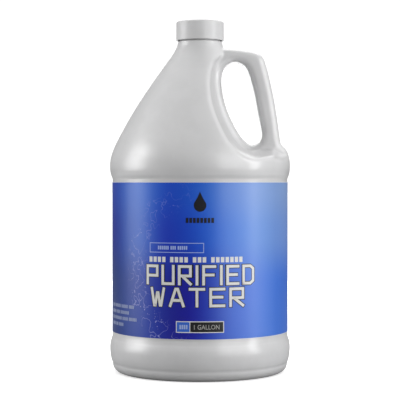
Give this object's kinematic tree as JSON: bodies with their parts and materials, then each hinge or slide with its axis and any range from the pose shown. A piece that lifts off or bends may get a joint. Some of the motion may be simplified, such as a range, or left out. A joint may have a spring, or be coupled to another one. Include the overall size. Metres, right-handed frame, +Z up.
{
  "type": "one-gallon water jug",
  "caption": "Round blow-moulded water jug with a moulded-in hollow handle, a screw cap, a wrap label and its water.",
  "frame": {"origin": "middle of the base, on the surface that the jug stands on", "axes": "+Z up along the bottle's axis; +X towards the handle; -Y towards the label's front"},
  "size_m": [0.1572, 0.1572, 0.305],
  "materials": {
    "bottle_plastic": "satin",
    "cap_plastic": "satin",
    "liner_foam": "matte",
    "label_film": "gloss",
    "water": "gloss"
  },
  "bodies": {
    "jug": {"bottle": "bottle_plastic", "wrap_label": "label_film", "water": "water"},
    "liner": {"cap_liner": "liner_foam"},
    "cap": {"screw_cap": "cap_plastic"}
  },
  "joints": [
    {"name": "cap_rise", "type": "slide", "parent": "jug", "child": "liner", "axis": [0, 0, 1], "range_m": [0, 0.01695]},
    {"name": "cap_turn", "type": "hinge", "parent": "liner", "child": "cap", "pos_m": [0, 0, 0.2884], "axis": [0, 0, 1], "range_deg": [0, 1440]}
  ],
  "couplings": [
    {"joint": "cap_rise", "follows": "cap_turn", "m_per_rad": 0.00067375}
  ]
}
